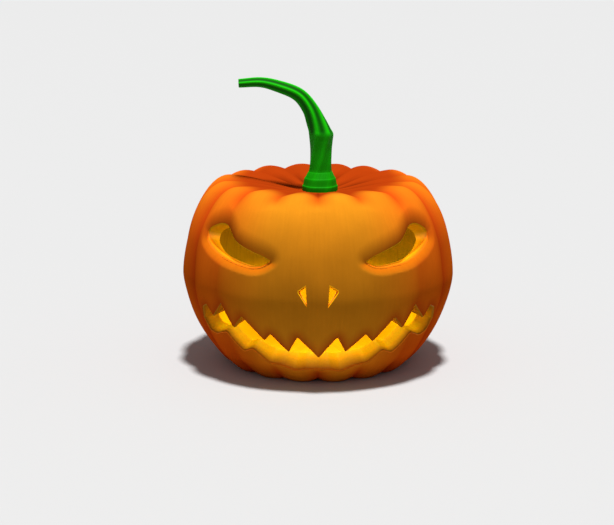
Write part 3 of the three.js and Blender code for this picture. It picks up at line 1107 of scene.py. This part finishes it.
class PUMPKIN_OT_stem(bpy.types.Operator):
    """Model the ridged stem"""

    bl_idname = "pumpkin.stem"
    bl_label = "Stem"

    def execute(self, context):
        fruit = context.scene.pumpkin_fruit
        sizes = context.scene.pumpkin_stem
        finishes = context.scene.pumpkin_finishes
        rings, crests, grain = stem_rings(sizes, fruit.height - fruit.stem_hollow)
        stem = loft("stem_stalk", rings, strip_ends=False)
        stem.data.materials.append(stem_material(finishes))
        stem.data.materials.append(pith_material(finishes))
        write_attributes(stem, ridge=crests, grain=grain)
        self.cut_tip(stem, sizes)
        bpy.ops.object.shade_smooth_by_angle(angle=16 * DEGREE)
        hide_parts("stem")
        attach(stem, "root")
        return {"FINISHED"}

    def cut_tip(self, stem, sizes):
        """Leaves a bark rim round the cut tip and sinks the dried pith inside it."""
        tip = min((face for face in stem.data.polygons if len(face.vertices) > 4),
                  key=lambda face: face.center.x)
        clear_selection(stem.data)
        tip.select = True
        centre, inward = tip.center.copy(), -tip.normal
        stem.active_material_index = 1
        with editing("FACE"):
            for scale, sink in ((0.94, -0.3), (0.84, 0.0), (0.78, 0.9), (0.4, 0.3)):
                bpy.ops.mesh.extrude_region_move()
                bpy.ops.transform.resize(value=(scale,) * 3, center_override=centre)
                bpy.ops.transform.translate(value=inward * sizes.pith * sink)
                if scale < 0.9:  # inside the bark rim
                    bpy.ops.object.material_slot_assign()


class PUMPKIN_OT_stage(bpy.types.Operator):
    """Set the floor, the lights and the camera"""

    bl_idname = "pumpkin.stage"
    bl_label = "Stage"

    def execute(self, context):
        scene = context.scene
        sizes = scene.pumpkin_stage
        bpy.ops.mesh.primitive_plane_add(size=sizes.floor_size, location=(0, 0, 0))
        floor = context.active_object
        floor.name = "studio_floor"
        floor.data.materials.append(floor_material(scene.pumpkin_finishes))

        sun = self.lamp("overhead_light", sizes.sun, type="SUN", location=(0.1, -0.32, 2))
        sun.data.angle = 7 * DEGREE
        self.aim(sun, Vector((0, 0, 0)))

        # two small lamps in the hollow, one that shines forwards and down, light the shell alone
        glow = self.lamp("light_inside", sizes.glow, type="AREA", location=(0, -0.02, 0.14))
        glow.data.shape = "DISK"
        glow.data.size = 0.03
        self.aim(glow, glow.location + Vector((0, -0.25, -0.97)))
        fill = self.lamp("fill_inside", sizes.fill, type="POINT", location=(0, -0.02, 0.125))
        lit = bpy.data.collections.new("lit_inside")
        lit.objects.link(bpy.data.objects["carved_shell"])
        for lamp in (glow, fill):
            lamp.data.color = (1.0, 0.9, 0.5)
            lamp.light_linking.receiver_collection = lit

        world = bpy.data.worlds.new("studio")
        scene.world = world
        world.use_nodes = True
        feed(world.node_tree.nodes["Background"], {"Color": (1, 1, 1, 1), "Strength": sizes.sky})

        middle = Vector((0, 0, 0.0964))  # of what shows, for the camera to swing round
        look_at = Vector((-0.0113, 0, 0.1017))
        back = Vector((0, -math.cos(sizes.camera_rise), math.sin(sizes.camera_rise)))
        bpy.ops.object.camera_add(location=middle + back * sizes.camera_distance)
        camera = context.active_object
        camera.data.lens = sizes.lens
        camera.data.sensor_width = 36
        camera.data.sensor_fit = "HORIZONTAL"
        self.aim(camera, look_at)
        scene.camera = camera
        scene.view_settings.view_transform = "Standard"
        return {"FINISHED"}

    def lamp(self, name, energy, **how):
        """Adds a lamp."""
        bpy.ops.object.light_add(**how)
        made = bpy.context.active_object
        made.name = name
        made.data.energy = energy
        return made

    def aim(self, obj, target):
        """Turns a lamp or the camera to look at a point."""
        obj.rotation_euler = (target - obj.location).to_track_quat("-Z", "Y").to_euler()


class PUMPKIN_PT_panel(bpy.types.Panel):
    """Lists the sizes, colours and pieces"""

    bl_idname = "PUMPKIN_PT_panel"
    bl_label = "Carved Pumpkin Lantern"
    bl_space_type = "VIEW_3D"
    bl_region_type = "UI"
    bl_category = "Pumpkin"

    def draw(self, context):
        for name, group in GROUPS.items():
            box = self.layout.box()
            for key in group.__annotations__:
                box.prop(getattr(context.scene, name), key)
        for operator in OPERATORS:
            self.layout.operator(operator.bl_idname)


OPERATORS = (PUMPKIN_OT_shell, PUMPKIN_OT_stem, PUMPKIN_OT_stage)
CLASSES = (*GROUPS.values(), *OPERATORS, PUMPKIN_PT_panel)


def register():
    for cls in CLASSES:
        bpy.utils.register_class(cls)
    for name, group in GROUPS.items():
        setattr(bpy.types.Scene, name, PointerProperty(type=group))


def unregister():
    for name in GROUPS:
        delattr(bpy.types.Scene, name)
    for cls in reversed(CLASSES):
        bpy.utils.unregister_class(cls)


def main():
    register()
    bpy.ops.pumpkin.shell()
    bpy.ops.pumpkin.stem()
    bpy.ops.pumpkin.stage()


if __name__ == "__main__":
    main()
